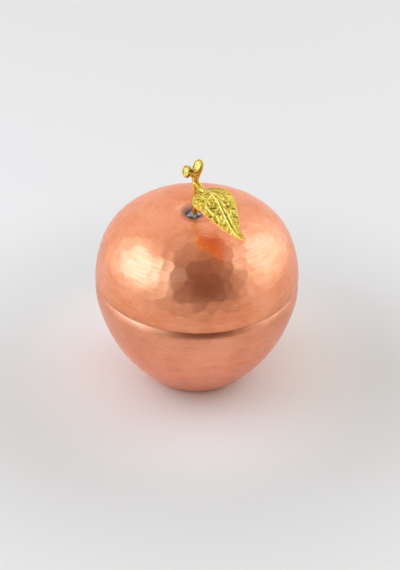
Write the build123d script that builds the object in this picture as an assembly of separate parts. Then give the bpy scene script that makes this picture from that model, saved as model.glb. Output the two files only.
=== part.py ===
from build123d import *
import math
import os

# Spice box in the shape of an apple: a spun copper bowl, a hammered copper lid that lifts off,
# and a cast brass stem and leaf soldered into the dimple of the lid.
# Lengths are in millimetres and angles in degrees. The origin is on the axis of the box, on the
# surface it stands on. +Z points up, and the leaf points to the front (-Y) and right (+X).

# Both sheet metal forms
body_radius = 45.0
wall = 1.0
seam_height = 50.6

# Bowl: from the belly a small arc turns in to the rim, and two long ones run down to the foot
rim_rise = 4.9
belly_height = seam_height - rim_rise
rim_arc = 7.5
belly_arc = 25.0
belly_turn = 10.6
foot_radius = 21.0
foot_corner = 6.0

# Lid: skirt, shoulder and crown arcs, each given by how far the surface has turned at its ends
skirt_lean = 3.4
skirt_arc = 58.0
skirt_top = 17.3
shoulder_top = 68.0
crest_radius = 13.5
lid_rise = 33.0
crest_height = seam_height + lid_rise
dimple_depth = 2.7
dimple_floor_radius = 5.6
rim_thickness = 2.4
rim_rounding = 0.8
rim_easing = 0.15

# Collar in the bowl's mouth, stepped outward over the rim to guide the lid
collar_thickness = 0.8
collar_rise = 6.0
collar_drop = 7.0
collar_easing = 0.25
lid_clearance = 0.3
collar_film = 0.05
collar_solder_depth = 3.0

# Stem: a tapered shaft with a thinner peg through the lid, and two short cut twigs on top
stem_offset = -1.2
stem_foot_radius = 1.45
stem_top_radius = 1.5
stem_height = 19.4
fork_radius = 1.7
peg_radius = 1.1
peg_clearance = 0.1
peg_reach = 1.2
twig_radius = 1.6
twig_flare = 0.8
twig_rim_height = 1.6
twig_rim_width = 0.7
twig_hollow = 0.3
top_twig_radius = 2.94
top_twig_end = (0.3, -1.9, 5.7)
top_twig_facing = (-0.76, -0.36, 0.54)
side_twig_radius = 2.67
side_twig_end = (-4.4, -1.4, 2.5)
side_twig_facing = (-0.84, -0.44, 0.32)

# Solder: a puddle round the stem's foot, and a bead over the peg's end inside the lid
puddle_radius = 4.2
puddle_height = 1.5
puddle_edge = 0.1
puddle_sag = 0.5
bead_radius = 2.8
bead_height = 1.8

# Leaf: outline, with the greatest width near the base
leaf_length = 35.7
leaf_half_width = 8.5
leaf_fullness = 0.82
leaf_roundness = 1.16
# Leaf: sheet, arched up near the base, level before the upturned tip, and drooping to both sides
leaf_thickness = 0.7
leaf_cross_arc = 15.6
leaf_hump = 2.3
leaf_hump_place = 0.18
leaf_sag = 0.75
leaf_sag_place = 0.68
leaf_tip_rise = 3.9
leaf_end_place = 1.05
sheet_overreach = 1.3
# Leaf: raised margin, broader toward the tip, midrib and side veins
margin_width = 0.6
tip_margin_share = 3.0
margin_rise = 0.15
vein_rise = 0.35
midrib_base_width = 1.6
midrib_tip_width = 0.6
vein_pairs = 5
first_vein_place = 0.08
last_vein_place = 0.66
vein_width = 0.6
vein_lean = 50.0
vein_bow = 0.05
# Leaf: petiole brazed to the stem, and how the blade hangs from it
petiole_height = 15.7
petiole_reach = 10.3
petiole_rise = 1.15
petiole_bend = (0.5, -1.6)
petiole_radius = 1.4
petiole_end_radius = 1.2
petiole_tip_radius = 0.5
petiole_overlap = 3.4
leaf_bearing = -63.3
leaf_droop = 9.1
leaf_roll = 3.0


def sine(degrees):
    return math.sin(math.radians(degrees))


def cosine(degrees):
    return math.cos(math.radians(degrees))


def spun(outline, corners):
    """Revolve curves, closed by straight lines through the corners, round the box's axis."""
    section = make_face(Curve() + [*outline, Polyline(*corners)])
    return revolve(Plane.XZ * section, Axis.Z)


def turned(*corners):
    """Revolve a polygon of (radius, height) corners round the box's axis."""
    return revolve(Plane.XZ * make_face(Polyline(*corners, close=True)), Axis.Z)


def tapered(start, end, start_radius, end_radius):
    """A round taper between two points."""
    reach = Vector(end) - Vector(start)
    return Solid.make_cone(start_radius, end_radius, reach.length, Plane(start, z_dir=reach))


def bowl_form():
    """The bowl's outer form, solid, with a flat foot and cut level at the seam."""
    belly = (body_radius, belly_height)
    rim_turn = math.degrees(math.asin(rim_rise / rim_arc))
    rim = JernArc(belly, (0, 1), rim_arc, rim_turn)
    side = JernArc(belly, (0, -1), belly_arc, -belly_turn)
    flank = TangentArc(side @ 1, (foot_radius, 0), tangent=side % 1)
    form = spun([rim, side, flank], [flank @ 1, (0, 0), (0, seam_height), rim @ 1])
    foot_edge = form.edges().filter_by(GeomType.CIRCLE).sort_by(Axis.Z)[0]
    return fillet(foot_edge, foot_corner)


def bowl():
    form = bowl_form()
    mouth = form.faces().sort_by(Axis.Z)[-1]
    return offset(form, amount=-wall, openings=mouth)


def mouth_radius():
    """The radius of the bowl's mouth, where its in-curved inner wall ends at the rim."""
    return body_radius - rim_arc + math.sqrt((rim_arc - wall) ** 2 - rim_rise**2)


def collar():
    """A ring with a step: the lower part fits the mouth, and the upper part fits the lid."""
    top_outer = body_radius - rim_thickness - lid_clearance
    top_inner = top_outer - collar_thickness
    low_outer = mouth_radius() - collar_film
    low_inner = low_outer - collar_thickness
    ring = turned(
        (low_inner, seam_height - collar_drop),
        (low_outer, seam_height - collar_drop),
        (low_outer, seam_height),
        (top_outer, seam_height),
        (top_outer, seam_height + collar_rise),
        (top_inner, seam_height + collar_rise),
        (top_inner, seam_height + collar_thickness),
        (low_inner, seam_height + collar_thickness),
    )
    lip = ring.edges().filter_by(GeomType.CIRCLE).group_by(Axis.Z)[-1]
    return fillet(lip, collar_easing)


def collar_solder():
    """Solder drawn into the wedge between the collar and the bowl's in-curved wall."""
    inner = mouth_radius()
    top = seam_height - collar_film
    wedge = turned(
        (inner, top),
        (inner, top - collar_solder_depth),
        (body_radius, top - collar_solder_depth / 2),
        (body_radius, top),
    )
    return wedge & (bowl_form() - bowl())


def lid_form():
    """The lid's outer form, solid, from its level edge over the crest into the dimple."""
    # The shoulder's and crown's radii are the two that bring the arcs to the crest.
    inward = body_radius - crest_radius - skirt_arc * (cosine(skirt_lean) - cosine(skirt_top))
    upward = lid_rise - skirt_arc * (sine(skirt_top) - sine(skirt_lean))
    shoulder_in = cosine(skirt_top) - cosine(shoulder_top)
    shoulder_up = sine(shoulder_top) - sine(skirt_top)
    crown_in = cosine(shoulder_top)
    crown_up = 1 - sine(shoulder_top)
    determinant = shoulder_in * crown_up - shoulder_up * crown_in
    shoulder_arc = (inward * crown_up - upward * crown_in) / determinant
    crown_arc = (upward * shoulder_in - inward * shoulder_up) / determinant

    # Two equal arcs, one bent each way, lead from the crest to the dimple's level floor.
    dimple_span = crest_radius - dimple_floor_radius
    dimple_turn = 2 * math.degrees(math.atan(dimple_depth / dimple_span))
    dimple_arc = dimple_span / 2 / sine(dimple_turn)

    lean = (-sine(skirt_lean), cosine(skirt_lean))
    skirt = JernArc((body_radius, seam_height), lean, skirt_arc, skirt_top - skirt_lean)
    shoulder = JernArc(skirt @ 1, skirt % 1, shoulder_arc, shoulder_top - skirt_top)
    crown = JernArc(shoulder @ 1, shoulder % 1, crown_arc, 90 - shoulder_top)
    lip = JernArc(crown @ 1, crown % 1, dimple_arc, dimple_turn)
    hollow = JernArc(lip @ 1, lip % 1, dimple_arc, -dimple_turn)
    floor = (0, crest_height - dimple_depth)
    return spun([skirt, shoulder, crown, lip, hollow], [hollow @ 1, floor, (0, seam_height), skirt @ 0])


def stem_foot():
    """The point on the dimple's floor where the stem stands."""
    return Vector(stem_offset, 0, crest_height - dimple_depth)


def lid():
    form = lid_form()
    underside = form.faces().sort_by(Axis.Z)[0]
    sheet = offset(form, amount=-wall, openings=underside)
    # The edge is left thick, with a straight bore that slides over the collar.
    bore_height = crest_height - seam_height
    bore_centre = Pos(0, 0, seam_height + bore_height / 2)
    edge_band = form - bore_centre * Cylinder(body_radius - rim_thickness, bore_height)
    peg_hole = Pos(*stem_foot()) * Cylinder(peg_radius + peg_clearance, 4 * wall)
    shell = sheet + edge_band - peg_hole
    outer_edge = shell.edges().filter_by(GeomType.CIRCLE).group_by(Axis.Z)[0].sort_by(SortBy.RADIUS)[-1]
    shell = fillet(outer_edge, rim_rounding)
    inner_edge = shell.edges().filter_by(GeomType.CIRCLE).group_by(Axis.Z)[0].sort_by(SortBy.RADIUS)[0]
    return chamfer(inner_edge, rim_easing)


def twig(fork, end, facing, radius):
    """A short cut twig: a neck from the fork, then a flare to a rim round its hollowed end."""
    away = Vector(facing).normalized()
    tip = fork + Vector(end)
    neck_end = tip - away * (twig_flare + twig_rim_height)
    height = twig_flare + twig_rim_height
    flare = turned(
        (0, 0),
        (twig_radius, 0),
        (radius, twig_flare),
        (radius, height),
        (radius - twig_rim_width, height),
        (0, height - twig_hollow),
    )
    neck = tapered(fork, neck_end, stem_top_radius, twig_radius)
    return Plane(neck_end, z_dir=away) * flare + neck + Pos(*neck_end) * Sphere(twig_radius)


def stem():
    foot = stem_foot()
    fork = foot + Vector(0, 0, stem_height)
    peg_length = wall + peg_reach
    peg = Pos(*foot) * Pos(0, 0, -peg_length / 2) * Cylinder(peg_radius, peg_length)
    shaft = tapered(foot, fork, stem_foot_radius, stem_top_radius)
    top_twig = twig(fork, top_twig_end, top_twig_facing, top_twig_radius)
    side_twig = twig(fork, side_twig_end, side_twig_facing, side_twig_radius)
    return shaft + peg + Pos(*fork) * Sphere(fork_radius) + top_twig + side_twig


def stem_solder():
    """The puddle round the stem's foot: drawn up the stem, and thin at its edge."""
    shaft_widening = (stem_top_radius - stem_foot_radius) * puddle_height / stem_height
    top = (stem_foot_radius + shaft_widening, puddle_height)
    surface = SagittaArc((puddle_radius, puddle_edge), top, -puddle_sag)
    border = Polyline(surface @ 1, (stem_foot_radius, 0), (puddle_radius, 0), surface @ 0)
    section = make_face(Curve() + [surface, border])
    return Pos(*stem_foot()) * revolve(Plane.XZ * section, Axis.Z)


def stem_solder_inside():
    """The bead that covers the peg's end under the lid: a cap of a sphere with a socket in it."""
    ceiling = Pos(*stem_foot()) * Pos(0, 0, -wall)
    sphere_radius = (bead_radius**2 + bead_height**2) / (2 * bead_height)
    sphere = Pos(0, 0, sphere_radius - bead_height) * Sphere(sphere_radius)
    cap = sphere & Pos(0, 0, -bead_height / 2) * Cylinder(bead_radius, bead_height)
    socket = Pos(0, 0, -peg_reach / 2) * Cylinder(peg_radius, peg_reach)
    return ceiling * (cap - socket)


def leaf_plane():
    """The blade's own plane: its origin at the base, X to the tip, and Y level but for the roll."""
    outward = Vector(cosine(leaf_bearing), sine(leaf_bearing), 0)
    joint = stem_foot() + Vector(0, 0, petiole_height)
    base = joint + outward * petiole_reach + Vector(0, 0, petiole_rise)
    along = outward * cosine(leaf_droop) - Vector(0, 0, sine(leaf_droop))
    across = Vector(0, 0, 1).cross(along).rotate(Axis((0, 0, 0), along), leaf_roll)
    return Plane(base, x_dir=along, z_dir=along.cross(across))


def leaf_outline(inset=0.0, steps=10):
    """The blade's outline, egg-shaped with a drawn-out tip, or one that lies inside it."""
    length = leaf_length - (1 + tip_margin_share) * inset
    half_width = leaf_half_width - inset
    right = [(inset, 0)]
    for step in range(1, steps):
        share = step / steps
        swell = math.sin(math.pi * share**leaf_fullness) ** leaf_roundness
        right.append((inset + length * share**2, half_width * swell))
    right.append((inset + length, 0))
    left = [(x, -y) for x, y in right]
    return make_face(Curve() + [Spline(*right), Spline(*left)])


def leaf_sheet(rise=0.0):
    """A curved sheet that the blade is cut from, raised on top for what stands proud of it."""
    middle = Spline(
        (-leaf_hump_place * leaf_length / 2, -leaf_hump / 2),
        (leaf_hump_place * leaf_length, leaf_hump),
        (leaf_sag_place * leaf_length, -leaf_sag),
        (leaf_end_place * leaf_length, leaf_tip_rise),
    )
    top = Pos(0, leaf_thickness / 2 + rise) * middle
    bottom = Pos(0, -leaf_thickness / 2) * middle
    ends = [Line(top @ 0, bottom @ 0), Line(top @ 1, bottom @ 1)]
    section = Plane.XZ * make_face(Curve() + [top, bottom, *ends])
    axis = Axis((0, 0, -leaf_cross_arc), (1, 0, 0))
    half_turn = sheet_overreach * math.degrees(math.asin(leaf_half_width / leaf_cross_arc))
    return revolve(section.rotate(axis, -half_turn), axis, 2 * half_turn)


def side_vein(place, side):
    """One side vein's footprint: a band that leaves the midrib and bows toward the tip."""
    reach = 2 * leaf_half_width
    start = Vector(place * leaf_length, 0)
    end = start + Vector(reach * cosine(vein_lean), side * reach * sine(vein_lean))
    half_band = Vector(vein_width / 2 / sine(vein_lean), 0)
    near = SagittaArc(start - half_band, end - half_band, -side * vein_bow * reach)
    far = SagittaArc(start + half_band, end + half_band, -side * vein_bow * reach)
    ends = [Line(near @ 0, far @ 0), Line(near @ 1, far @ 1)]
    return make_face(Curve() + [near, far, *ends])


def leaf_blade():
    """The blade in its own plane: a curved sheet with a raised margin, midrib and side veins."""
    outline = leaf_outline()
    midrib = make_face(Polyline(
        (margin_width, midrib_base_width / 2),
        (margin_width, -midrib_base_width / 2),
        (leaf_length - margin_width, -midrib_tip_width / 2),
        (leaf_length - margin_width, midrib_tip_width / 2),
        close=True,
    ))
    veins = midrib
    spacing = (last_vein_place - first_vein_place) / max(vein_pairs - 1, 1)
    for pair in range(vein_pairs):
        for side in (-1, 1):
            veins = veins + side_vein(first_vein_place + pair * spacing, side)
    depth = leaf_half_width
    blade = extrude(outline, depth, both=True) & leaf_sheet()
    margin = extrude(outline - leaf_outline(margin_width), depth, both=True) & leaf_sheet(margin_rise)
    ribs = extrude(veins & outline, depth, both=True) & leaf_sheet(vein_rise)
    return blade + margin + ribs


def leaf():
    plane = leaf_plane()
    # The petiole starts inside the stem's outline and is coped to it. It bends where it reaches
    # the blade, to one side of the base, and ends on the midrib.
    start = stem_foot() + Vector(0, 0, petiole_height)
    bend = plane.from_local_coords(Vector(*petiole_bend, petiole_end_radius))
    end = plane.from_local_coords(Vector(petiole_overlap, 0, leaf_hump))
    petiole = tapered(start, bend, petiole_radius, petiole_end_radius)
    petiole = petiole + Pos(*bend) * Sphere(petiole_end_radius)
    petiole = petiole + tapered(bend, end, petiole_end_radius, petiole_tip_radius)
    return plane * leaf_blade() + petiole - stem()


pieces = {
    "bowl": bowl(),
    "collar": collar(),
    "collar_solder": collar_solder(),
    "lid": lid(),
    "stem": stem(),
    "stem_solder": stem_solder(),
    "stem_solder_inside": stem_solder_inside(),
    "leaf": leaf(),
}

os.makedirs("parts", exist_ok=True)
for name, piece in pieces.items():
    export_step(piece, f"parts/{name}.step")
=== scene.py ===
import math

import bpy
import numpy as np
from mathutils import Matrix, Vector, noise


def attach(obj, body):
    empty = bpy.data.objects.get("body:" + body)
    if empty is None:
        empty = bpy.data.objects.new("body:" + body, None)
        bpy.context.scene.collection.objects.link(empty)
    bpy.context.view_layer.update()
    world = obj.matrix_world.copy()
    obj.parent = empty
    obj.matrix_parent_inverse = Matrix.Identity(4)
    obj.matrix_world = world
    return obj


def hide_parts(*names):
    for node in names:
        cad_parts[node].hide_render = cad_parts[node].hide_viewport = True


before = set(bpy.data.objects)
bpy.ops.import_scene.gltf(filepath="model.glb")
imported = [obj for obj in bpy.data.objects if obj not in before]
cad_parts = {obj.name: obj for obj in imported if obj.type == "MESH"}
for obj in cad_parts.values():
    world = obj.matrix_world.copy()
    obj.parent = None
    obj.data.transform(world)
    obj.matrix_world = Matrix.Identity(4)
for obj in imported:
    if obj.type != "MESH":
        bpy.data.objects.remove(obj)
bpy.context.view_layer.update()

# A spice box in the shape of an apple. The sizes below are in millimetres, as in the CAD source,
# and each mesh is scaled to metres when it is made.
MM = 0.001
SEED = 11
rng = np.random.default_rng(SEED)

# Body
body_radius = 45.0
wall = 1.0
seam_height = 50.6
rim_rise, rim_arc = 4.9, 7.5
belly_arc, belly_turn = 25.0, 10.6
foot_radius, foot_corner = 21.0, 6.0
skirt_lean, skirt_arc, skirt_top = 3.4, 58.0, 17.3
shoulder_top = 68.0
crest_radius, lid_rise = 13.5, 33.0
crest_height = seam_height + lid_rise
dimple_depth, dimple_floor_radius = 2.7, 5.6
rim_thickness, rim_rounding, rim_easing = 2.4, 0.8, 0.15

# Stem and solder
stem_foot = np.array([-1.2, 0.0, crest_height - dimple_depth])
stem_foot_radius, stem_top_radius, stem_height = 1.45, 1.5, 19.4
fork_radius, twig_radius, twig_flare, twig_rim_height = 1.7, 1.6, 0.8, 1.6
top_twig_radius, top_twig_end, top_twig_facing = 2.94, (0.3, -1.9, 5.7), (-0.76, -0.36, 0.54)
side_twig_radius, side_twig_end, side_twig_facing = 2.67, (-4.4, -1.4, 2.5), (-0.84, -0.44, 0.32)
puddle_radius, puddle_height = 4.2, 1.5

# Leaf
leaf_length, leaf_half_width, leaf_fullness, leaf_roundness = 35.7, 8.5, 0.82, 1.16
leaf_thickness, leaf_cross_arc = 0.7, 15.6
leaf_hump, leaf_hump_place = 2.3, 0.18
leaf_sag, leaf_sag_place = 0.75, 0.68
leaf_tip_rise, leaf_end_place = 3.9, 1.05
petiole_height, petiole_reach, petiole_rise = 15.7, 10.3, 1.15
petiole_bend, petiole_radius, petiole_end_radius = (0.5, -1.6), 1.4, 1.2
petiole_tip_radius, petiole_overlap = 0.5, 3.4
leaf_bearing, leaf_droop, leaf_roll = -63.3, 9.1, 3.0
midrib_height, vein_height, vein_width = 0.38, 0.30, 0.21
cross_vein_height, cross_vein_width = 0.20, 0.19


# Camera and studio, in metres and degrees
camera_elevation, camera_roll = 34.75, -0.90
camera_target, camera_distance, camera_lens = (0.0014, 0, 0.04424), 0.539, 76.33
box_centre = (0, 0, 0.05)
backdrop_colour, daylight = (0.805, 0.805, 0.81), (0.94, 1.0, 1.34)
middle_light, glow_light = (0.38, 0.60, 1.0), (0.36, 0.82, 1.0)
room_colour, overhead_colour, unlit_colour = (0.95, 0.945, 0.94), (0.57, 0.50, 0.46), (0.28, 0.19, 0.165)
# the floor's colours: a painted warm glow right by the box, a ring of painted shade round it, and the
# plain paper beyond
painted_glow_paper, painted_shade_paper, paper_beyond = (0.825, 0.805, 0.75), (0.68, 0.695, 0.65), (0.765, 0.77, 0.727)
floor_reach, floor_sides = 14.0, 96
# in metres from the axis: where the painted glow fades, where the ring of painted shade fades, and where
# the floor goes over into the backdrop
painted_glow_zone, painted_shade_zone, backdrop_zone = (0.045, 0.095), (0.085, 0.17), (0.13, 1.0)


def make_camera():
    """The photograph's camera, worked out from the box's silhouette."""
    elevation, roll = math.radians(camera_elevation), math.radians(camera_roll)
    forward = Vector((0, math.cos(elevation), -math.sin(elevation)))
    right, up = Vector((1, 0, 0)), Vector((0, math.sin(elevation), math.cos(elevation)))
    turned_right = right * math.cos(roll) - up * math.sin(roll)
    turned_up = right * math.sin(roll) + up * math.cos(roll)
    data = bpy.data.cameras.new("camera")
    data.sensor_width = 36
    data.lens = camera_lens
    data.clip_start = 0.01
    data.clip_end = 60
    camera = bpy.data.objects.new("camera", data)
    bpy.context.scene.collection.objects.link(camera)
    axes = Matrix((turned_right, turned_up, -forward)).transposed().to_4x4()
    camera.matrix_world = Matrix.Translation(Vector(camera_target) - forward * camera_distance) @ axes
    bpy.context.scene.camera = camera


def area_light(name, place, aim, size, radiance, colour, on_metal=True, on_floor=True):
    """A square softbox that lights the metal, the floor or both."""
    data = bpy.data.lights.new(name, "AREA")
    data.shape = "SQUARE"
    data.size = size
    data.energy = radiance * math.pi * size**2
    data.color = colour
    light = bpy.data.objects.new(name, data)
    light.location = place
    light.visible_glossy = on_metal
    light.visible_diffuse = on_floor
    light.rotation_mode = "QUATERNION"
    light.rotation_quaternion = (Vector(aim) - Vector(place)).to_track_quat("-Z", "Y")
    bpy.context.scene.collection.objects.link(light)


def new_nodes(tree):
    """A function that adds nodes to an emptied tree, with their inputs linked or set."""
    tree.nodes.clear()

    def add(kind, inputs=None, **settings):
        node = tree.nodes.new(kind)
        for key, value in settings.items():
            setattr(node, key, value)
        for key, value in (inputs or {}).items():
            socket = node.inputs[key]
            if isinstance(value, bpy.types.NodeSocket):
                tree.links.new(value, socket)
            else:
                socket.default_value = value
        return node

    return add


def mapped(add, value, start, end, low, high, kind="LINEAR"):
    """A value's range start..end turned into low..high."""
    ends = {"Value": value, "From Min": start, "From Max": end, "To Min": low, "To Max": high}
    return add("ShaderNodeMapRange", ends, interpolation_type=kind).outputs["Result"]


def maths(add, operation, a, b, clamp=False):
    """The result of one arithmetic operation on two values."""
    return add("ShaderNodeMath", {0: a, 1: b}, operation=operation, use_clamp=clamp).outputs[0]


def mixed(add, share, a, b):
    """Two colours mixed; each is a colour's three numbers or another node's output."""
    a, b = ((*c, 1) if isinstance(c, tuple) else c for c in (a, b))
    return add("ShaderNodeMix", {"Factor": share, "A": a, "B": b}, data_type="RGBA").outputs["Result"]


def lobe(add, direction, centre, half_sizes):
    """1 inside an ellipse of directions as seen from straight above, falling softly to 0."""
    away = add("ShaderNodeVectorMath", {0: direction, 1: (*centre, 0)}, operation="SUBTRACT")
    scale = (1 / half_sizes[0], 1 / half_sizes[1], 0)
    scaled = add("ShaderNodeVectorMath", {0: away.outputs[0], 1: scale}, operation="MULTIPLY")
    length = add("ShaderNodeVectorMath", {0: scaled.outputs[0]}, operation="LENGTH")
    return mapped(add, length.outputs["Value"], 0.7, 1.3, 1.0, 0.0, "SMOOTHSTEP")


def make_world():
    """A pale room with an unlit part in front of the box and a half-lit one above it."""
    world = bpy.data.worlds.new("studio")
    bpy.context.scene.world = world
    world.use_nodes = True
    add = new_nodes(world.node_tree)
    direction = add("ShaderNodeTexCoord").outputs["Generated"]
    depth = add("ShaderNodeSeparateXYZ", {0: direction}).outputs["Y"]
    overhead = lobe(add, direction, (0.0, -0.10), (0.36, 0.62))
    unlit = lobe(add, direction, (0.13, -0.65), (0.57, 0.55))
    room = mixed(add, overhead, room_colour, overhead_colour)
    room = mixed(add, unlit, room, unlit_colour)
    front = mapped(add, depth, -1.0, -0.45, 0.75, 1.0)
    seen = add("ShaderNodeLightPath").outputs["Is Camera Ray"]
    colour = mixed(add, seen, room, backdrop_colour)
    strength = maths(add, "MAXIMUM", front, seen)
    background = add("ShaderNodeBackground", {"Color": colour, "Strength": strength})
    add("ShaderNodeOutputWorld", {"Surface": background.outputs["Background"]})


def make_floor():
    """A round floor of pale paper, which goes over into the backdrop's colour far from the box; close to
    the box its colour holds a painted warm glow, and round that a ring of painted shade.
    """
    mesh = bpy.data.meshes.new("floor")
    turns = [k * 2 * math.pi / floor_sides for k in range(floor_sides)]
    rim = [(floor_reach * math.cos(turn), floor_reach * math.sin(turn), 0) for turn in turns]
    faces = [(floor_sides, k, (k + 1) % floor_sides) for k in range(floor_sides)]
    mesh.from_pydata([*rim, (0, 0, 0)], [], faces)
    floor = bpy.data.objects.new("floor", mesh)
    bpy.context.scene.collection.objects.link(floor)
    material = bpy.data.materials.new("floor")
    material.use_nodes = True
    add = new_nodes(material.node_tree)
    place = add("ShaderNodeTexCoord").outputs["Object"]
    away = add("ShaderNodeVectorMath", {0: place}, operation="LENGTH").outputs["Value"]
    far = mapped(add, away, *backdrop_zone, 0.0, 1.0, "SMOOTHSTEP")
    path = add("ShaderNodeLightPath").outputs
    seen = maths(add, "MAXIMUM", path["Is Camera Ray"], path["Is Glossy Ray"])
    # painted light on the paper: a warm glow close to the box, then a ring of painted shade
    painted_glow_share = mapped(add, away, *painted_glow_zone, 1.0, 0.0, "SMOOTHSTEP")
    beyond = mapped(add, away, *painted_shade_zone, 0.0, 1.0, "SMOOTHSTEP")
    paper = mixed(add, beyond, painted_shade_paper, paper_beyond)
    paper = mixed(add, painted_glow_share, paper, painted_glow_paper)
    near = {"Base Color": paper, "Roughness": 0.8, "Specular IOR Level": 0.1}
    shader = add("ShaderNodeBsdfPrincipled", near)
    # the metal shows the room's unlit front in the floor too
    heading = add("ShaderNodeVectorMath", {0: place}, operation="NORMALIZE").outputs[0]
    forward = add("ShaderNodeSeparateXYZ", {0: heading}).outputs["Y"]
    mirrored = mapped(add, forward, -0.95, -0.15, 0.55, 1.24, "SMOOTHSTEP")
    strength = add("ShaderNodeMix", {"Factor": path["Is Glossy Ray"], "A": 1.0, "B": mirrored})
    strength = strength.outputs["Result"]
    glow = add("ShaderNodeEmission", {"Color": (*backdrop_colour, 1), "Strength": strength})
    share = maths(add, "MULTIPLY", far, seen)
    both = {0: share, 1: shader.outputs["BSDF"], 2: glow.outputs["Emission"]}
    blend = add("ShaderNodeMixShader", both)
    add("ShaderNodeOutputMaterial", {"Surface": blend.outputs["Shader"]})
    mesh.materials.append(material)


bpy.context.scene.view_settings.view_transform = "Standard"
make_camera()
make_world()
make_floor()
area_light("left_softbox", (-0.78, 0.04, 0.53), box_centre, 0.82, 1.60, daylight, on_metal=False)
area_light("right_softbox", (0.79, 0.39, 0.48), box_centre, 0.76, 1.35, daylight, on_metal=False)
area_light("floor_fill", (0.10, -0.70, 1.20), box_centre, 1.2, 0.7, (1, 1, 1), on_metal=False)
# the same two softboxes as the metal shows them: a bluish middle in a wide faint glow
for side, x, y, z, strength in (("left", -0.77, -0.20, 0.52, 1.85), ("right", 0.85, 0.25, 0.60, 1.1)):
    area_light(side + "_middle", (x, y, z), box_centre, 0.76, strength, middle_light, on_floor=False)
    area_light(side + "_glow", (x, y, z - 0.15), box_centre, 1.35, 0.72, glow_light, on_floor=False)


# Materials
speck_colour, stain_colour = (0.22, 0.09, 0.05), (0.24, 0.115, 0.09)
copper_roughness, brass_grain = 0.31, 0.03


def material(name):
    """A new material and the function that adds its nodes."""
    made = bpy.data.materials.new(name)
    made.use_nodes = True
    return made, new_nodes(made.node_tree)


def metal(add, base, gloss, height, depth):
    """A metal surface from its colour, roughness and bump height, whose depth is in mm."""
    bump = add("ShaderNodeBump", {"Height": height, "Strength": 1.0, "Distance": depth * MM})
    sockets = {"Base Color": base, "Metallic": 1.0, "Roughness": gloss}
    sockets["Normal"] = bump.outputs["Normal"]
    shader = add("ShaderNodeBsdfPrincipled", sockets)
    add("ShaderNodeOutputMaterial", {"Surface": shader.outputs["BSDF"]})


def object_noise(add, place, scale, detail, roughness=0.5):
    """Noise of 0..1 at places on the object; a larger scale is finer."""
    sockets = {"Vector": place, "Scale": scale, "Detail": detail, "Roughness": roughness}
    return add("ShaderNodeTexNoise", sockets).outputs["Fac"]


def round_axis(add, stretch, fineness):
    """Coordinates that follow the box's surface: slow round its axis and fast across it."""
    place = add("ShaderNodeTexCoord").outputs["Object"]
    parts = add("ShaderNodeSeparateXYZ", {0: place})
    angle = maths(add, "ARCTAN2", parts.outputs["Y"], parts.outputs["X"])
    flat = add("ShaderNodeVectorMath", {0: place, 1: (1, 1, 0)}, operation="MULTIPLY")
    radius = add("ShaderNodeVectorMath", {0: flat.outputs[0]}, operation="LENGTH")
    around = maths(add, "MULTIPLY", angle, stretch)
    outward = maths(add, "MULTIPLY", radius.outputs["Value"], fineness)
    upward = maths(add, "MULTIPLY", parts.outputs["Z"], fineness)
    return add("ShaderNodeCombineXYZ", {0: around, 1: outward, 2: upward}).outputs[0]


def specked(add, place, base):
    """The colour with a few small dark specks of oxide in it."""
    dots = add("ShaderNodeTexVoronoi", {"Vector": place, "Scale": 330.0, "Randomness": 1.0})
    dot = mapped(add, dots.outputs["Distance"], 0.05, 0.13, 1.0, 0.0, "SMOOTHSTEP")
    picked = add("ShaderNodeSeparateXYZ", {0: dots.outputs["Color"]}).outputs["X"]
    few = mapped(add, picked, 0.90, 0.96, 0.0, 0.7)
    return mixed(add, maths(add, "MULTIPLY", dot, few), base, speck_colour)


def seam_painted_shade(add, place, base, seam_shade_colour):
    """The colour with a ragged darker band along the seam: painted shade under the lid's edge."""
    rise = add("ShaderNodeSeparateXYZ", {0: place}).outputs["Z"]
    gap = maths(add, "ABSOLUTE", maths(add, "SUBTRACT", rise, (seam_height - 1.0) * MM), 0.0)
    patchy = maths(add, "MULTIPLY", object_noise(add, place, 170.0, 4.0, 0.6), 7.0 * MM)
    seam_shade = mapped(add, maths(add, "ADD", gap, patchy), 8.0 * MM, 3.0 * MM, 0.0, 0.6, "SMOOTHSTEP")
    return mixed(add, seam_shade, base, seam_shade_colour)


def soldered_at_foot(add, place, base, gloss):
    """Colour and roughness with a flux stain round the stem's foot and a duller dimple."""
    foot = tuple((stem_foot + [-1.2, 1.1, 0]) * MM)
    away = add("ShaderNodeVectorMath", {0: place, 1: foot}, operation="DISTANCE").outputs["Value"]
    ragged = maths(add, "MULTIPLY", object_noise(add, place, 260.0, 3.0), 3.0 * MM)
    near = maths(add, "ADD", away, ragged)
    stain = mapped(add, near, 8.4 * MM, 5.0 * MM, 0.0, 0.85, "SMOOTHSTEP")
    unpolished = mapped(add, away, 15 * MM, 8 * MM, 0.0, 0.16, "SMOOTHSTEP")
    return mixed(add, stain, base, stain_colour), maths(add, "ADD", gloss, unpolished)


def brushed_copper(name, colour, darker, roughness, brush_depth, soldered=False):
    """Satin copper with fine lines round the axis, a cloudy tone, dark specks and painted shade along the
    seam.
    """
    made, add = material(name)
    place = add("ShaderNodeTexCoord").outputs["Object"]
    lines = object_noise(add, round_axis(add, 5.0, 2600.0), 1.0, 3.0, 0.65)
    broad = object_noise(add, round_axis(add, 4.0, 1250.0), 1.0, 3.0, 0.6)
    cloud = object_noise(add, place, 75.0, 5.0, 0.62)
    brushing = maths(add, "ADD", lines, broad)
    tone = mapped(add, cloud, 0.36, 0.64, 0.1, 1.0)
    streak = mapped(add, brushing, 0.75, 1.25, -0.38, 0.38)
    base = mixed(add, maths(add, "ADD", tone, streak, clamp=True), darker, colour)
    base = specked(add, place, base)
    # painted shade: a ragged darker band along the seam, under the lid's edge
    base = seam_painted_shade(add, place, base, tuple(0.72 * part for part in darker))
    gloss = mapped(add, brushing, 0.7, 1.3, roughness + 0.07, roughness - 0.07)
    if soldered:
        base, gloss = soldered_at_foot(add, place, base, gloss)
    metal(add, base, gloss, brushing, brush_depth)
    return made


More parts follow.
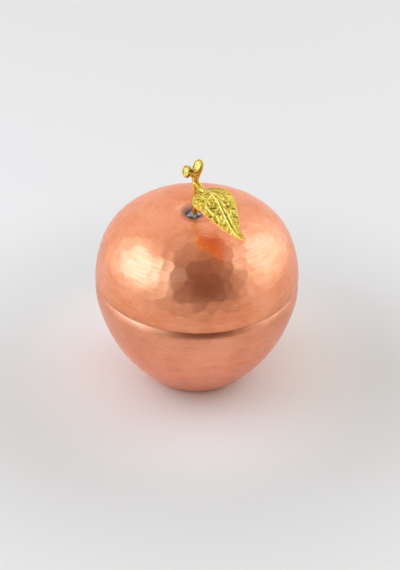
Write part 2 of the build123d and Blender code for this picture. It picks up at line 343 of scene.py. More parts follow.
def tinned(name):
    """Wiped tin: grey, cloudy and a little uneven."""
    made, add = material(name)
    place = add("ShaderNodeTexCoord").outputs["Object"]
    wipe = object_noise(add, round_axis(add, 3.0, 420.0), 1.0, 3.0)
    cloud = object_noise(add, place, 90.0, 4.0)
    base = mixed(add, cloud, (0.50, 0.49, 0.47), (0.74, 0.73, 0.70))
    metal(add, base, mapped(add, wipe, 0.0, 1.0, 0.26, 0.48), wipe, 0.02)
    return made


def cast_brass(name, bright, middle, dark, roughness, grain):
    """Cast brass: bright where it stands proud, dark in the hollows, with a fine cast skin."""
    made, add = material(name)
    place = add("ShaderNodeTexCoord").outputs["Object"]
    hollow = add("ShaderNodeAttribute", attribute_name="hollow", attribute_type="GEOMETRY")
    skin = object_noise(add, place, 1500.0, 3.0, 0.6)
    blotch = object_noise(add, place, 520.0, 3.0, 0.6)
    wobble = mapped(add, blotch, 0.3, 0.7, -0.16, 0.16)
    depth = maths(add, "ADD", hollow.outputs["Fac"], wobble, clamp=True)
    ramp = add("ShaderNodeValToRGB", {"Fac": depth})
    stops = ramp.color_ramp.elements
    stops[0].position, stops[0].color = 0.0, (*bright, 1)
    stops[1].position, stops[1].color = 1.0, (*dark, 1)
    stops.new(0.42).color = (*middle, 1)
    gloss = mapped(add, depth, 0.0, 1.0, roughness, roughness + 0.28)
    metal(add, ramp.outputs["Color"], gloss, skin, grain)
    return made


def soft_solder(name):
    """Grey solder with a dark skin that has been wiped bright in places."""
    made, add = material(name)
    place = add("ShaderNodeTexCoord").outputs["Object"]
    lumps = object_noise(add, place, 420.0, 4.0, 0.6)
    spots = object_noise(add, place, 900.0, 2.0)
    hollow = add("ShaderNodeAttribute", attribute_name="hollow", attribute_type="GEOMETRY")
    level = mapped(add, maths(add, "SUBTRACT", lumps, hollow.outputs["Fac"]), 0.38, 0.62, 0.0, 1.0)
    base = mixed(add, level, (0.07, 0.045, 0.04), (0.55, 0.52, 0.52))
    metal(add, base, mapped(add, spots, 0.3, 0.7, 0.22, 0.5), lumps, 0.12)
    return made


spun_copper = brushed_copper(
    "spun_copper", (0.96, 0.40, 0.24), (0.86, 0.31, 0.17), copper_roughness, 0.018
)
hammered_copper = brushed_copper(
    "hammered_copper", (0.97, 0.385, 0.205), (0.87, 0.295, 0.14), copper_roughness, 0.011, soldered=True
)
collar_copper = brushed_copper("collar_copper", (0.82, 0.38, 0.24), (0.72, 0.30, 0.18), 0.34, 0.010)
tin = tinned("tin_lining")
leaf_brass = cast_brass(
    "leaf_brass", (1.0, 0.80, 0.235), (0.80, 0.535, 0.062), (0.30, 0.15, 0.016), 0.35, brass_grain
)
stem_brass = cast_brass(
    "stem_brass", (0.97, 0.80, 0.28), (0.80, 0.51, 0.09), (0.26, 0.12, 0.015), 0.34, brass_grain
)
solder = soft_solder("solder")


# Mesh helpers


def make_object(name, points, faces, surfaces, groups=None, hollow=None, sharp=35.0):
    """A smooth-shaded mesh object in metres from points in millimetres."""
    mesh = bpy.data.meshes.new(name)
    mesh.from_pydata((np.asarray(points) * MM).tolist(), [], faces)
    for surface in surfaces:
        mesh.materials.append(surface)
    if groups is not None:
        mesh.polygons.foreach_set("material_index", groups)
    mesh.polygons.foreach_set("use_smooth", [True] * len(mesh.polygons))
    if hollow is not None:
        shade = mesh.attributes.new("hollow", "FLOAT", "POINT")
        shade.data.foreach_set("value", np.asarray(hollow, dtype=np.float32))
    mesh.set_sharp_from_angle(angle=math.radians(sharp))
    mesh.update()
    made = bpy.data.objects.new(name, mesh)
    bpy.context.scene.collection.objects.link(made)
    return made


def hand_over(piece, node, body):
    """The piece stands for the CAD node, which is hidden, and moves with the body."""
    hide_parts(node)
    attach(piece, body)


def full_turn(count):
    """Evenly spaced angles all the way round."""
    return np.arange(count) * 2 * math.pi / count


def noise_at(points, scale, shift=(0, 0, 0)):
    """Smooth noise of about -1..1 at each point; a larger scale is finer."""
    return np.array([noise.noise(Vector(point) * scale + Vector(shift)) for point in points])


def closed_skin(rings, tips):
    """Points and faces of one closed skin, from rings of points and the tips at both ends."""
    count, around = rings.shape[:2]
    last_ring, first_tip, last_tip = (count - 1) * around, count * around, count * around + 1
    faces = []
    for row in range(0, last_ring, around):
        for k in range(around):
            step = (k + 1) % around
            faces.append((row + k, row + step, row + around + step, row + around + k))
    faces += [(first_tip, (k + 1) % around, k) for k in range(around)]
    faces += [(last_tip, last_ring + k, last_ring + (k + 1) % around) for k in range(around)]
    return np.concatenate([rings.reshape(-1, 3), np.asarray(tips, float)]), faces


def axis_rings(rows, around):
    """Rings of points round the box's axis, from rows of (radius, height)."""
    rows, turns = np.asarray(rows, float), full_turn(around)
    ring = np.stack([np.cos(turns), np.sin(turns)], axis=1)
    flat = rows[:, None, :1] * ring[None]
    return np.concatenate([flat, np.repeat(rows[:, None, 1:2], around, axis=1)], axis=2)


def outward_rings(turns_up, around):
    """The surface's outward directions on such rings, from how far it has turned upward."""
    angles = np.radians(turns_up)
    return axis_rings(np.stack([np.cos(angles), np.sin(angles)], axis=1), around)


def sine(degrees):
    return math.sin(math.radians(degrees))


def cosine(degrees):
    return math.cos(math.radians(degrees))


def arc_rows(radius, height, runs, spacing):
    """Rows of radius, height and turn along a chain of (arc, start turn, end turn)."""
    rows = []
    for arc, start, end in runs:
        count = max(2, round(abs(arc) * math.radians(abs(end - start)) / spacing))
        for step in range(count):
            turn = start + (end - start) * step / count
            across, up = cosine(turn) - cosine(start), sine(turn) - sine(start)
            rows.append((radius + arc * across, height + arc * up, turn))
        radius += arc * (cosine(end) - cosine(start))
        height += arc * (sine(end) - sine(start))
    rows.append((radius, height, runs[-1][2]))
    return rows


def to_axis(rows, spacing):
    """The rows carried on level from the last one almost to the axis."""
    radius, height, turn = rows[-1]
    count = round(radius / spacing)
    return rows + [(radius * (1 - step / count), height, turn) for step in range(1, count)]


def inner_rows(rows):
    """Rows of (radius, height) one wall inside the given ones."""
    return [(r - wall * cosine(turn), z - wall * sine(turn)) for r, z, turn in rows]


# Bowl


def bowl_rows(spacing):
    """The bowl's outer section from its rim down to the foot and in to the axis."""
    rim_turn = math.degrees(math.asin(rim_rise / rim_arc))
    flank_start = np.array([
        body_radius - belly_arc * (1 - cosine(belly_turn)),
        seam_height - rim_rise - belly_arc * sine(belly_turn),
    ])
    inward = np.array([-cosine(belly_turn), sine(belly_turn)])
    reach = np.array([foot_radius, 0]) - flank_start
    flank_arc = reach @ reach / (2 * inward @ reach)
    centre = flank_start + flank_arc * inward
    flank_end = -math.degrees(math.asin((centre[1] - foot_corner) / (flank_arc - foot_corner)))
    runs = [
        (rim_arc, rim_turn, 0.0),
        (belly_arc, 0.0, -belly_turn),
        (flank_arc, -belly_turn, flank_end),
        (foot_corner, flank_end, -90.0),
    ]
    rim_radius = body_radius - rim_arc * (1 - cosine(rim_turn))
    return to_axis(arc_rows(rim_radius, seam_height, runs, spacing), 1.5)


def spinning_marks(height):
    """How far the spinning tool has left each height of the bowl's side above or below true."""
    broad = noise_at([(0, 0, z) for z in height], 0.32)
    fine = noise_at([(4, 0, z) for z in height], 1.3)
    level = 0.030 * broad + 0.010 * fine
    return level * np.clip((height - 3) / 6, 0, 1) * np.clip((seam_height - height) / 1.5, 0, 1)


def dents(points, centres, radii, depths):
    """How far small knocks have driven each point in."""
    result = np.zeros(len(points))
    for centre, radius, depth in zip(centres, radii, depths):
        away = np.linalg.norm(points - centre, axis=1)
        result -= depth * np.exp(-((away / radius) ** 2))
    return result


def make_bowl():
    """The spun bowl: marks of the spinning tool and small knocks outside, tinned inside."""
    around, knock_count, knock_circle = 480, 60, body_radius - 0.6
    outer = np.array(bowl_rows(0.5))[::-1]
    rings = axis_rings(outer[:, :2], around)
    outward = outward_rings(outer[:, 2], around)
    turns = rng.uniform(0, 2 * math.pi, knock_count)
    heights = seam_height - 1.2 - rng.exponential(3.0, knock_count)
    centres = np.stack([knock_circle * np.cos(turns), knock_circle * np.sin(turns), heights], axis=1)
    flat = rings.reshape(-1, 3)
    radii, depths = rng.uniform(0.5, 1.6, knock_count), rng.uniform(0.01, 0.05, knock_count)
    marks = np.repeat(spinning_marks(outer[:, 1]), around) + dents(flat, centres, radii, depths)
    # the rim and the foot stay true, and the widest part is rubbed down a little
    marks[flat[:, 2] > seam_height - 0.3] = 0
    marks[flat[:, 2] < 1] = 0
    marks[np.hypot(flat[:, 0], flat[:, 1]) > body_radius - 0.02] -= 0.03
    rings = (flat + outward.reshape(-1, 3) * marks[:, None]).reshape(rings.shape)
    inner = inner_rows(bowl_rows(1.2))
    mouth = body_radius - rim_arc + math.sqrt((rim_arc - wall) ** 2 - rim_rise**2)
    inner = [(mouth, seam_height)] + [row for row in inner if row[1] < seam_height - 0.1]
    rings = np.concatenate([rings, axis_rings(inner, around)])
    points, faces = closed_skin(rings, [(0, 0, 0), (0, 0, wall)])
    bare = len(outer) * around
    groups = [0] * bare + [1] * ((len(inner) - 1) * around) + [0] * around + [1] * around
    bowl = make_object("bowl_shell", points, faces, [spun_copper, tin], groups, sharp=40.0)
    hand_over(bowl, "bowl", "box")


# Lid


def lid_rows(spacing):
    """The lid's outer section from its edge over the crest into the dimple and to the axis."""
    inward = body_radius - crest_radius - skirt_arc * (cosine(skirt_lean) - cosine(skirt_top))
    upward = lid_rise - skirt_arc * (sine(skirt_top) - sine(skirt_lean))
    shoulder_in = cosine(skirt_top) - cosine(shoulder_top)
    shoulder_up = sine(shoulder_top) - sine(skirt_top)
    crown_in, crown_up = cosine(shoulder_top), 1 - sine(shoulder_top)
    determinant = shoulder_in * crown_up - shoulder_up * crown_in
    shoulder_arc = (inward * crown_up - upward * crown_in) / determinant
    crown_arc = (upward * shoulder_in - inward * shoulder_up) / determinant
    span = crest_radius - dimple_floor_radius
    turn = 2 * math.degrees(math.atan(dimple_depth / span))
    dimple_arc = span / 2 / sine(turn)
    runs = [
        (skirt_arc, skirt_lean, skirt_top),
        (shoulder_arc, skirt_top, shoulder_top),
        (crown_arc, shoulder_top, 90.0),
        (dimple_arc, 90.0, 90.0 + turn),
        (-dimple_arc, 90.0 + turn, 90.0),
    ]
    return to_axis(arc_rows(body_radius, seam_height, runs, spacing), spacing)


def softened_rows(spacing):
    """The lid's outer section with the dimple eased to one soft funnel, as hammering leaves it."""
    rows = np.array(lid_rows(spacing))
    in_crest = rows[:, 0] < crest_radius
    level_inside, level_outside = 3.6, 12.4
    place = np.clip((rows[in_crest, 0] - level_inside) / (level_outside - level_inside), 0, 1)
    rows[in_crest, 1] = crest_height - dimple_depth * (1 + np.cos(math.pi * place)) / 2
    return rows


def dimple_height(radius):
    """Height of the lid's outer face inside its crest, at a radius."""
    rows = softened_rows(0.25)
    rows = rows[rows[:, 0] < crest_radius][::-1]
    return np.interp(radius, rows[:, 0], rows[:, 1])


def hammer_blows():
    """Centres, depths and face radii of the blows, in rough rings from the edge to the axis."""
    section = np.array(lid_rows(0.25))[:, :2]
    along = np.concatenate([[0], np.cumsum(np.hypot(*np.diff(section, axis=0).T))])
    blow_width, row_gap, blow_depths, hammer_faces = 5.2, 4.5, (0.04, 0.16), (24.0, 70.0)
    centres, depths, faces = [], [], []
    place = 2.2
    while place < along[-1]:
        radius = np.interp(place, along, section[:, 0])
        count = max(1, round(2 * math.pi * radius / blow_width))
        offset = rng.uniform(0, 2 * math.pi)
        for k in range(count):
            at = place + rng.normal(0, 1.0)
            turn = offset + (k + rng.normal(0, 0.2)) * 2 * math.pi / count
            r, z = (np.interp(at, along, section[:, axis]) for axis in (0, 1))
            centres.append((r * math.cos(turn), r * math.sin(turn), z))
            depths.append(rng.uniform(*blow_depths))
            faces.append(rng.uniform(*hammer_faces))
        place += row_gap + rng.uniform(-0.3, 0.3)
    return np.array(centres), np.array(depths), np.array(faces)


def planished(points):
    """How far the hammer has driven each point in: shallow facets with low ridges between."""
    centres, depths, faces = hammer_blows()
    softness, block_size = 0.006, 4000
    result = np.zeros(len(points))
    for start in range(0, len(points), block_size):
        block = points[start : start + block_size]
        away = ((block[:, None, :] - centres[None, :, :]) ** 2).sum(axis=2)
        level = np.concatenate([away / (2 * faces) - depths, np.zeros((len(block), 1))], axis=1)
        low = level.min(axis=1, keepdims=True)
        spread = np.exp((low - level) / softness).sum(axis=1)
        result[start : start + block_size] = low[:, 0] - softness * np.log(spread)
    return result


def make_lid():
    """The hammered lid: facets outside, a rounded edge, and tinned inside."""
    around = 640
    outer = softened_rows(0.42)
    outer = outer[outer[:, 1] > seam_height + rim_rounding]
    rings = axis_rings(outer[:, :2], around)
    outward = outward_rings(outer[:, 2], around).reshape(-1, 3)
    flat = rings.reshape(-1, 3)
    rings = (flat + outward * planished(flat)[:, None]).reshape(rings.shape)
    tip_height = rings[-1, :, 2].mean()
    # from the bottom of the outer wall round under the edge to the bore
    start, bore = outer[0, 0], body_radius - rim_thickness
    rounding = [(1 - cosine(turn), 1 - sine(turn)) for turn in (20, 40, 60, 80, 90)]
    edge = [(start - rim_rounding * a, seam_height + rim_rounding * b) for a, b in rounding]
    edge += [(bore + rim_easing, seam_height), (bore, seam_height + rim_easing)]
    ceiling = [row for row in inner_rows(lid_rows(1.2)) if 0.3 < row[0] < bore]
    lining = [(bore, seam_height + 2.0), (bore, ceiling[0][1] - 0.6), *ceiling]
    lower = axis_rings((edge + lining)[::-1], around)
    tips = [(0, 0, ceiling[-1][1]), (0, 0, tip_height)]
    points, faces = closed_skin(np.concatenate([lower, rings]), tips)
    lined, bare = len(lining) * around, (len(edge) + len(outer) - 1) * around
    groups = [1] * lined + [0] * bare + [1] * around + [0] * around
    lid = make_object("lid_shell", points, faces, [hammered_copper, tin], groups, sharp=40.0)
    hand_over(lid, "lid", "lid")


# Leaf


def unit(vector):
    """The vector made one long."""
    return np.asarray(vector, float) / np.linalg.norm(vector)


def leaf_frame():
    """The blade's origin and its directions to the tip, across and up, and the petiole's root."""
    bearing, droop, roll = (math.radians(a) for a in (leaf_bearing, leaf_droop, leaf_roll))
    outward = np.array([math.cos(bearing), math.sin(bearing), 0])
    along = outward * math.cos(droop) - np.array([0, 0, math.sin(droop)])
    across = unit(np.cross([0, 0, 1], along))
    above = np.cross(along, across)
    rolled = across * math.cos(roll) + above * math.sin(roll)
    above = above * math.cos(roll) - across * math.sin(roll)
    root = stem_foot + [0, 0, petiole_height]
    base = root + outward * petiole_reach + [0, 0, petiole_rise]
    return base, along, rolled, above, root


leaf_places = (-leaf_hump_place / 2, leaf_hump_place, leaf_sag_place, leaf_end_place)
leaf_levels = (-leaf_hump / 2, leaf_hump, -leaf_sag, leaf_tip_rise)
middle_line = np.poly1d(np.polyfit(np.array(leaf_places) * leaf_length, leaf_levels, 3))


def leaf_point(u, v, lift):
    """Points of the curved sheet at (u, v) of the leaf's plane, lifted from its middle."""
    u, v = np.atleast_1d(u), np.atleast_1d(v)
    base, along, across, above, _ = leaf_frame()
    rise = np.sqrt((leaf_cross_arc + middle_line(u) + lift) ** 2 - v**2) - leaf_cross_arc
    return base + u[:, None] * along + v[:, None] * across + rise[:, None] * above


# the midrib and the veins run through these points of the leaf's plane
midrib_line = [(0.5, 0), (5.4, -0.1), (10.3, 0.1), (14.8, -0.1), (18.2, -0.4), (22.5, -0.6),
               (26.1, -0.8), (28.4, -0.9), (32.0, -0.6), (35.2, 0)]
vein_lines = [
    [(2.0, 0.6), (3.2, 2.6), (4.2, 5.0), (5.4, 7.4)],
    [(4.0, 0.6), (5.2, 1.6), (6.7, 3.7), (8.9, 8.0)],
    [(4.6, 0.8), (6.7, 1.8), (9.3, 2.2), (11.1, 3.6), (12.3, 4.8), (13.8, 5.7), (15.6, 6.4)],
    [(8.8, 0.6), (11.2, 1.9), (12.7, 1.8), (13.7, 1.9), (14.9, 2.8), (16.3, 4.1), (18.6, 5.6)],
    [(13.4, 0.7), (15.1, 1.0), (17.0, 1.4), (18.1, 1.8), (18.8, 2.1), (20.6, 3.4)],
    [(15.8, 1.3), (17.2, 1.5), (18.7, 1.3), (21.5, 1.0), (24.6, 1.0), (27.0, 0.7)],
    [(21.6, 1.0), (22.6, 2.0), (23.8, 3.2)],
    [(24.6, 1.0), (26.0, 1.8), (27.2, 2.4)],
    [(2.2, -0.6), (2.9, -2.4), (3.4, -4.6), (4.6, -7.2)],
    [(5.2, -0.4), (6.6, -2.1), (7.2, -3.2), (7.9, -4.4), (8.6, -5.5), (9.9, -6.9)],
    [(9.2, -0.3), (10.8, -2.5), (10.9, -3.6), (11.3, -4.9), (12.6, -6.6)],
    [(12.3, -0.2), (13.1, -1.2), (13.7, -2.2), (14.8, -4.1), (16.3, -5.1), (17.4, -5.7)],
    [(15.0, -0.3), (15.6, -1.6), (16.3, -3.4), (17.5, -3.0), (18.6, -3.2), (20.5, -4.4)],
    [(16.4, -0.6), (17.5, -2.2), (18.6, -2.0), (19.4, -1.6)],
    [(18.8, -0.6), (20.0, -1.8), (21.8, -3.4)],
    [(22.0, -0.8), (23.2, -1.8), (24.6, -2.9)],
    [(25.0, -0.9), (26.2, -1.6), (27.4, -2.3)],
]
cross_veins = [
    [(7.9, -4.4), (9.9, -5.2), (11.2, -4.9), (12.5, -4.9), (14.1, -4.5), (14.8, -4.1)],
    [(7.2, -3.2), (8.5, -3.5), (10.1, -3.2)],
    [(3.4, -3.6), (5.2, -4.2), (7.0, -3.0)],
    [(6.4, 3.4), (8.2, 3.6), (9.6, 2.6)],
    [(12.6, 2.0), (12.4, 3.2), (12.0, 4.4)],
    [(15.6, 3.4), (17.0, 2.6), (17.6, 1.7)],
]
# places where the casting is deep and dark, each a line with its half width and its strength
deep_lines = [
    ([(12.1, -4.1), (12.8, -1.6)], 0.36, 1.0),
    ([(9.7, -2.4), (10.2, -1.3)], 0.26, 0.9),
    ([(15.7, -2.5), (16.1, -1.9)], 0.42, 0.9),
    ([(15.1, -5.9), (15.5, -5.0)], 0.42, 0.9),
    ([(17.2, -4.6), (17.3, -4.3)], 0.30, 0.8),
    ([(18.7, -4.5), (19.1, -4.0)], 0.34, 0.8),
    ([(10.0, -4.3), (10.3, -4.0)], 0.38, 0.8),
    ([(21.1, -2.9), (21.4, -2.6)], 0.34, 0.7),
    ([(8.3, -6.3), (8.4, -6.0)], 0.26, 0.7),
    ([(6.6, -4.9), (6.8, -4.6)], 0.28, 0.7),
    ([(3.9, -6.9), (4.5, -5.8)], 0.32, 0.8),
    ([(1.6, -6.0), (1.9, -5.6)], 0.36, 0.6),
    ([(5.1, -0.9), (5.3, -0.6)], 0.26, 0.7),
    ([(13.5, -4.0), (13.9, -3.3)], 0.45, 0.6),
    ([(11.3, 2.4), (11.8, 3.2)], 0.34, 0.9),
    ([(11.6, 4.9), (11.8, 5.2)], 0.28, 0.8),
    ([(13.1, 2.7), (13.5, 3.7)], 0.70, 0.7),
    ([(14.3, 4.5), (14.9, 5.4)], 0.36, 0.8),
    ([(17.2, 3.4), (17.7, 3.9)], 0.34, 0.8),
    ([(18.3, 3.0), (19.0, 4.1)], 0.50, 0.7),
    ([(5.3, 7.4), (6.5, 8.2)], 0.30, 0.9),
    ([(4.4, 3.0), (4.7, 3.3)], 0.28, 0.6),
    ([(5.3, 4.4), (4.4, 6.9)], 0.26, 0.7),
    ([(30.4, -1.6), (31.2, -1.5)], 0.34, 0.9),
    ([(21.5, 3.6), (21.9, 3.8)], 0.30, 0.8),
    ([(24.1, 1.6), (24.5, 1.7)], 0.28, 0.6),
    ([(11.8, 0.6), (14.6, 0.45), (17.9, 0.35), (20.5, 0.25), (24.0, -0.1)], 0.24, 0.9),
]


def distance_to_line(points, line):
    """Distance of points in the leaf's plane from a polyline, and how far along it they lie."""
    line = np.asarray(line, float)
    best, place = np.full(len(points), np.inf), np.zeros(len(points))
    for index, (a, b) in enumerate(zip(line[:-1], line[1:])):
        run = b - a
        share = np.clip(((points - a) @ run) / (run @ run), 0, 1)
        away = np.hypot(*(points - a - share[:, None] * run).T)
        nearer = away < best
        best[nearer], place[nearer] = away[nearer], (index + share[nearer]) / (len(line) - 1)
    return best, place


def smoothed(line, rounds=2):
    """The line with its corners cut, a few times over."""
    line = [np.array(point, float) for point in line]
    for _ in range(rounds):
        cut = [line[0]]
        for a, b in zip(line[:-1], line[1:]):
            cut += [a * 0.75 + b * 0.25, a * 0.25 + b * 0.75]
        line = cut + [line[-1]]
    return np.array(line)


def leaf_relief(u, v, share):
    """Height of the cast relief on the leaf's top, and how dark in a hollow each point is."""
    points = np.stack([u, v], axis=1)
    # the cast lines wander a little
    wander = np.stack([noise_at(np.c_[points, np.full(len(u), z)], 1.1) for z in (2.0, 5.0)], axis=1)
    points = points + 0.10 * wander
    away, place = distance_to_line(points, smoothed(midrib_line))
    midrib_width = 0.29 - 0.08 * place
    ridge = (midrib_height - 0.14 * place) * np.exp(-((away / midrib_width) ** 2))
    spread = away
    veins = np.zeros(len(u))
    for line in vein_lines:
        away, place = distance_to_line(points, smoothed(line))
        strength = np.clip(1.15 - 0.6 * place, 0, 1)
        veins = np.maximum(veins, vein_height * strength * np.exp(-((away / vein_width) ** 2)))
        spread = np.minimum(spread, away)
    for line in cross_veins:
        away, place = distance_to_line(points, smoothed(line))
        veins = np.maximum(veins, cross_vein_height * np.exp(-((away / cross_vein_width) ** 2)))
        spread = np.minimum(spread, away)
    dark = np.zeros(len(u))
    for line, width, strength in deep_lines:
        away, _ = distance_to_line(points, line)
        dark = np.maximum(dark, strength * np.exp(-((away / width) ** 4)))
    # between the veins the cast sheet is pitted by a net of small ridges
    net = np.zeros(len(u))
    for index in range(len(u)):
        distances, _ = noise.voronoi(Vector((u[index] * 0.72, v[index] * 0.86, 3.0)))
        net[index] = min(1.0, (distances[1] - distances[0]) / 0.28)
    spots = np.c_[points, np.zeros(len(u))]
    patch, grain, fine = (noise_at(spots, scale, (0, 0, scale)) for scale in (0.8, 2.2, 5.0))
    edge_distance = (1 - share) * leaf_half_width
    inside = np.clip(edge_distance / 0.7, 0, 1)
    between = np.clip((spread - 0.25) / 0.5, 0, 1) * inside
    rim = 0.26 * np.exp(-((edge_distance / 0.35) ** 2))
    pitted = net * np.clip(0.45 + 1.1 * patch, 0, 1)
    dip = between * (0.04 + 0.10 * pitted) + 0.20 * dark * inside
    threads = 0.13 * np.exp(-((net / 0.30) ** 2)) * np.clip(0.9 + grain, 0, 1) * inside
    raised = np.maximum(np.maximum(np.maximum(veins, threads) * inside, ridge), rim)
    height = raised * (1 - 0.6 * dark) - dip + 0.035 * fine + 0.03 * grain
    shade = 0.46 + between * 0.30 * pitted + 0.50 * dark * inside
    shade += 0.14 * grain + 0.16 * fine - 1.9 * raised * (1 - 0.8 * dark)
    return height, np.clip(shade, 0, 1)


def grid_faces(rows, columns, start, flipped):
    """Faces of a sheet whose points come row by row, numbered from start."""
    faces = []
    for row in range(rows - 1):
        for a in range(start + row * columns, start + row * columns + columns - 1):
            face = (a, a + 1, a + columns + 1, a + columns)
            faces.append(face[::-1] if flipped else face)
    return faces


def petiole():
    """Points and faces of the cast stalk, from the stem past the blade's base onto the midrib."""
    base, along, across, above, root = leaf_frame()
    bend_along, bend_across = petiole_bend
    bend = base + bend_along * along + bend_across * across + petiole_end_radius * above
    end = leaf_point(petiole_overlap, 0, 0.2)[0]
    start = root + unit(bend - root) * 1.0
    path = smooth_path([start, (root + bend) / 2, bend, end], 60)
    places = np.linspace(0, 1, len(path))
    radii = np.interp(places, [0, 0.7, 0.8, 1.0],
                      [petiole_radius, petiole_end_radius, 1.05, petiole_tip_radius])
    # swellings where the twig was ringed
    radii = radii * (1 + 0.10 * np.cos(places * 31.0 + 0.6) * np.clip(1.1 - places, 0, 1))
    return tube_mesh(path, radii, 36)


def make_leaf():
    """The cast leaf: a curved sheet with its relief on top, and its petiole."""
    rows, columns, turned_share = 290, 181, 0.96
    along_share = np.linspace(0.02, 0.995, rows)
    bulge = np.linspace(-math.pi / 2, math.pi / 2, columns) * turned_share
    across_share = np.sin(bulge) / math.sin(math.pi / 2 * turned_share)
    reach = leaf_half_width * np.sin(math.pi * along_share**leaf_fullness) ** leaf_roundness
    edge_places = np.c_[along_share * 20, np.zeros((rows, 2))]
    reach = reach * (0.985 + 0.018 * noise_at(edge_places, 1.0) + 0.008 * noise_at(edge_places, 3.1))
    row_places = leaf_length * along_share**2
    u = np.repeat(row_places, columns)
    # the left lobe is the fuller one near the base
    lobe_bulge = 0.07 * np.exp(-(((row_places - 5.5) / 2.6) ** 2))
    fuller = 1 + lobe_bulge[:, None] * (across_share[None, :] < 0)
    v = (reach[:, None] * across_share[None, :] * fuller).reshape(-1)
    height, hollow = leaf_relief(u, v, np.abs(np.tile(across_share, rows)))
    # the sheet's top is sunk a little, so that the ridges on it reach the solid's surface
    half, sunk = leaf_thickness / 2, 0.12
    top = leaf_point(u, v, half - sunk + np.clip(height, -0.35, 0.42))
    below = leaf_point(u, v * 0.985, 0.10 * np.clip(height, 0, 1) - half)
    count = rows * columns
    faces = grid_faces(rows, columns, 0, False) + grid_faces(rows, columns, count, True)
    rim = [row * columns for row in range(rows - 1)]
    faces += [(a, a + columns, count + a + columns, count + a) for a in rim]
    rim = [row * columns + columns - 1 for row in range(rows - 1)]
    faces += [(a, count + a, count + a + columns, a + columns) for a in rim]
    faces += [(a, count + a, count + a + 1, a + 1) for a in range(columns - 1)]
    last = (rows - 1) * columns
    faces += [(a, a + 1, count + a + 1, count + a) for a in range(last, last + columns - 1)]
    stalk, stalk_faces = petiole()
    faces += [tuple(i + 2 * count for i in face) for face in stalk_faces]
    lumps, fine = noise_at(stalk, 0.75), noise_at(stalk, 2.4)
    stalk = stalk + np.stack([lumps, fine, lumps - fine], axis=1) * 0.10
    stalk_shade = np.clip(0.30 + 0.9 * fine + 0.3 * lumps, 0, 1)
    points = np.concatenate([top, below, stalk])
    shade = np.concatenate([hollow, np.full(count, 0.15), stalk_shade])
    leaf = make_object("cast_leaf", points, faces, [leaf_brass], hollow=shade, sharp=60.0)
    hand_over(leaf, "leaf", "lid")


def smooth_path(points, count):
    """Points along the polynomial curve that passes through a few given points."""
    points = np.array(points, float)
    runs = np.linalg.norm(np.diff(points, axis=0), axis=1)
    knots = np.concatenate([[0], np.cumsum(runs)])
    at, degree = np.linspace(0, knots[-1], count), len(points) - 1
    return np.stack([np.polyval(np.polyfit(knots, points[:, k], degree), at) for k in range(3)], axis=1)


def tube_mesh(path, radii, around):
    """A closed tube along a path, with blunt ends."""
    tangents = np.gradient(path, axis=0)
    tangents /= np.linalg.norm(tangents, axis=1, keepdims=True)
    side = np.cross(tangents, [0.2, 0.3, 0.93])
    side /= np.linalg.norm(side, axis=1, keepdims=True)
    other, turns = np.cross(tangents, side), full_turn(around)
    ring = np.cos(turns)[None, :, None] * side[:, None] + np.sin(turns)[None, :, None] * other[:, None]
    rings = path[:, None] + np.asarray(radii)[:, None, None] * ring
    tips = [path[0] - tangents[0] * radii[0] * 0.4, path[-1] + tangents[-1] * radii[-1] * 0.4]
    return closed_skin(rings, tips)


# Stem


def turned_mesh(profile, around, origin, axis):
    """A lathed closed form of (radius, height) rows about an axis."""
    axis = unit(axis)
    side = unit(np.cross(axis, [0.1, 0.2, 0.97] if abs(axis[2]) < 0.9 else [1, 0, 0]))
    other, turns = np.cross(axis, side), full_turn(around)
    ring = np.cos(turns)[:, None] * side + np.sin(turns)[:, None] * other
    rings = np.array([origin + axis * height + radius * ring for radius, height in profile])
    return closed_skin(rings, [origin + axis * profile[0][1], origin + axis * profile[-1][1]])


def cut_twig(fork, end, facing, radius):
    """A thick neck from the fork and a drum with a rim round its slightly sunk flat end."""
    away = unit(facing)
    full = twig_flare + twig_rim_height
    neck = fork + np.asarray(end) - away * full
    drum = [
        (twig_radius, 0),
        (radius * 0.84, twig_flare * 0.55),
        (radius - 0.06, twig_flare + 0.15),
        (radius, twig_flare + 0.5),
        (radius, full - 0.35),
        (radius - 0.14, full - 0.10),
        (radius - 0.40, full),
        (radius - 0.66, full - 0.14),
        (radius - 0.85, full - 0.50),
        (radius * 0.3, full - 0.42),
    ]
    bent = smooth_path([fork - [0, 0, 1.0], fork + (neck - fork) * 0.5, neck + away * 0.6], 12)
    return [turned_mesh(drum, 40, neck, away), tube_mesh(bent, np.full(12, twig_radius), 28)]


def joined_skin(parts, voxel, rounds):
    """The skin round several overlapping closed forms, softened, as points, normals, faces."""
    points, faces = np.zeros((0, 3)), []
    for made, made_faces in parts:
        faces += [tuple(i + len(points) for i in face) for face in made_faces]
        points = np.concatenate([points, made])
    rough = bpy.data.meshes.new("stem_rough")
    rough.from_pydata(points.tolist(), [], faces)
    helper = bpy.data.objects.new("stem_rough", rough)
    bpy.context.scene.collection.objects.link(helper)
    remesh = helper.modifiers.new("skin", "REMESH")
    remesh.mode, remesh.voxel_size = "VOXEL", voxel
    smooth = helper.modifiers.new("soften", "SMOOTH")
    smooth.factor, smooth.iterations = 0.5, rounds
    dependencies = bpy.context.evaluated_depsgraph_get()
    shape = bpy.data.meshes.new_from_object(helper.evaluated_get(dependencies))
    bpy.data.objects.remove(helper)
    spots, directions = np.zeros((2, len(shape.vertices) * 3))
    shape.vertices.foreach_get("co", spots)
    shape.vertices.foreach_get("normal", directions)
    faces = [tuple(face.vertices) for face in shape.polygons]
    return spots.reshape(-1, 3), directions.reshape(-1, 3), faces


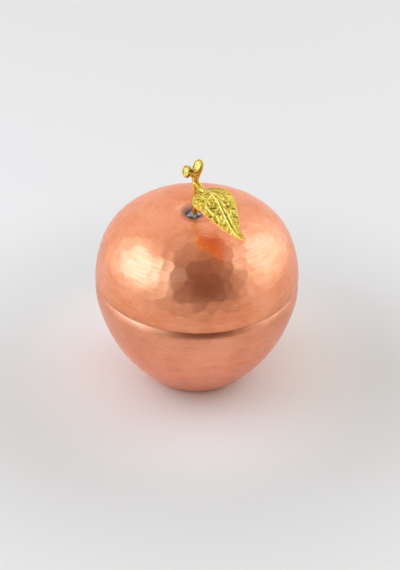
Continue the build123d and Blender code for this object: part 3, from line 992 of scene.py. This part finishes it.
def make_stem():
    """The stem: forms joined into one skin, then softened and given a cast unevenness."""
    fork = stem_foot + [0, 0, stem_height]
    heights = np.linspace(0, stem_height, 24)
    lean = [0.10 * np.sin(heights / 5.0), 0.08 * np.sin(heights / 7.0 + 1), heights]
    radii = np.linspace(stem_foot_radius, stem_top_radius, len(heights))
    angles = np.linspace(0.08, math.pi - 0.08, 14)
    ball = [(fork_radius * math.sin(a), -fork_radius * math.cos(a)) for a in angles]
    parts = [
        tube_mesh(stem_foot + np.stack(lean, axis=1), radii, 32),
        turned_mesh(ball, 28, fork, (0, 0, 1)),
        *cut_twig(fork, top_twig_end, top_twig_facing, top_twig_radius),
        *cut_twig(fork, side_twig_end, side_twig_facing, side_twig_radius),
    ]
    spots, directions, faces = joined_skin(parts, voxel=0.12, rounds=3)
    broad, lumps, grain = (noise_at(spots, scale) for scale in (0.55, 1.4, 3.0))
    uneven = 0.05 * broad + 0.10 * lumps + 0.05 * grain
    shade = 0.40 - 2.0 * uneven + 0.30 * noise_at(spots, 1.8, (5, 2, 1))
    # the cut ends are paler than the bark, and darker inside their rims and on their sides
    full = twig_flare + twig_rim_height
    for end, facing, radius in (
        (top_twig_end, top_twig_facing, top_twig_radius),
        (side_twig_end, side_twig_facing, side_twig_radius),
    ):
        away = unit(facing)
        offset = spots - (fork + np.asarray(end) - away * full)
        height = offset @ away
        out = np.linalg.norm(offset - height[:, None] * away, axis=1)
        near = (np.abs(height - full / 2) < full) & (out < radius + 0.5)
        face = near & (height > full - 0.75) & (out < radius - 0.62)
        groove = near * np.exp(-(((out - radius + 0.85) / 0.22) ** 2)) * (height > full - 0.8)
        side = near & (out > radius - 0.25) & (height > 0.3)
        shade += 0.40 * groove + 0.22 * side - 0.22 * face
    spots = spots + directions * (uneven - 0.06)[:, None]
    shade = np.clip(shade, 0, 1)
    stem = make_object("cast_stem", spots, faces, [stem_brass], hollow=shade, sharp=75.0)
    hand_over(stem, "stem", "lid")


def make_puddle():
    """The solder round the stem's foot: a lumpy mound with a ragged edge, laid in the dimple."""
    around, rings = 110, 30
    turns = full_turn(around)
    directions = np.stack([np.cos(turns), np.sin(turns)], axis=1)
    circle = np.c_[directions * 1.5, np.full(around, 4.0)]
    ragged = 0.12 * noise_at(circle, 1.0) + 0.05 * noise_at(circle, 3.0)
    # it has run further to the left and to the back
    run_on = [-0.75, 0.65]
    reach = puddle_radius * (0.90 + ragged) + directions @ run_on
    inner = stem_foot_radius - 0.5
    shares = np.linspace(1, 0, rings)
    radii = inner + (reach[None, :] - inner) * shares[:, None]
    spots = stem_foot[:2] + radii[:, :, None] * directions[None]
    floor = dimple_height(np.hypot(spots[:, :, 0], spots[:, :, 1]))
    flat = np.c_[spots.reshape(-1, 2), np.zeros(rings * around)]
    lumps = (0.20 * noise_at(flat, 0.8, (0, 0, 2)) + 0.07 * noise_at(flat, 2.4)).reshape(rings, around)
    share = shares[:, None]
    mound = (1 - share) ** 1.8 * (puddle_height - 0.15) + 0.30 * (1 - share**5) - 0.16
    top = np.concatenate([spots, (floor + mound + lumps * (1 - share**3))[:, :, None]], axis=2)
    hem = np.concatenate([spots[:1] * 0.98, floor[:1, :, None] - 0.45], axis=2)
    middle = stem_foot + [0, 0, -0.45]
    points, faces = closed_skin(np.concatenate([hem, top]), [middle, stem_foot + [0, 0, puddle_height]])
    darker = np.repeat(np.clip((shares - 0.55) * 0.45, 0, 0.25), around)
    shade = np.concatenate([np.full(around, 0.3), darker, [0.3, 0.0]])
    puddle = make_object("solder_puddle", points, faces, [solder], hollow=shade, sharp=80.0)
    hand_over(puddle, "stem_solder", "lid")


make_bowl()
make_lid()
make_leaf()
make_stem()
make_puddle()


# Carried-over CAD nodes


def dress(node, surface):
    """Give a CAD node that stays as it is its finish."""
    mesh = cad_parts[node].data
    mesh.materials.clear()
    mesh.materials.append(surface)


dress("collar", collar_copper)
dress("collar_solder", solder)
dress("stem_solder_inside", solder)
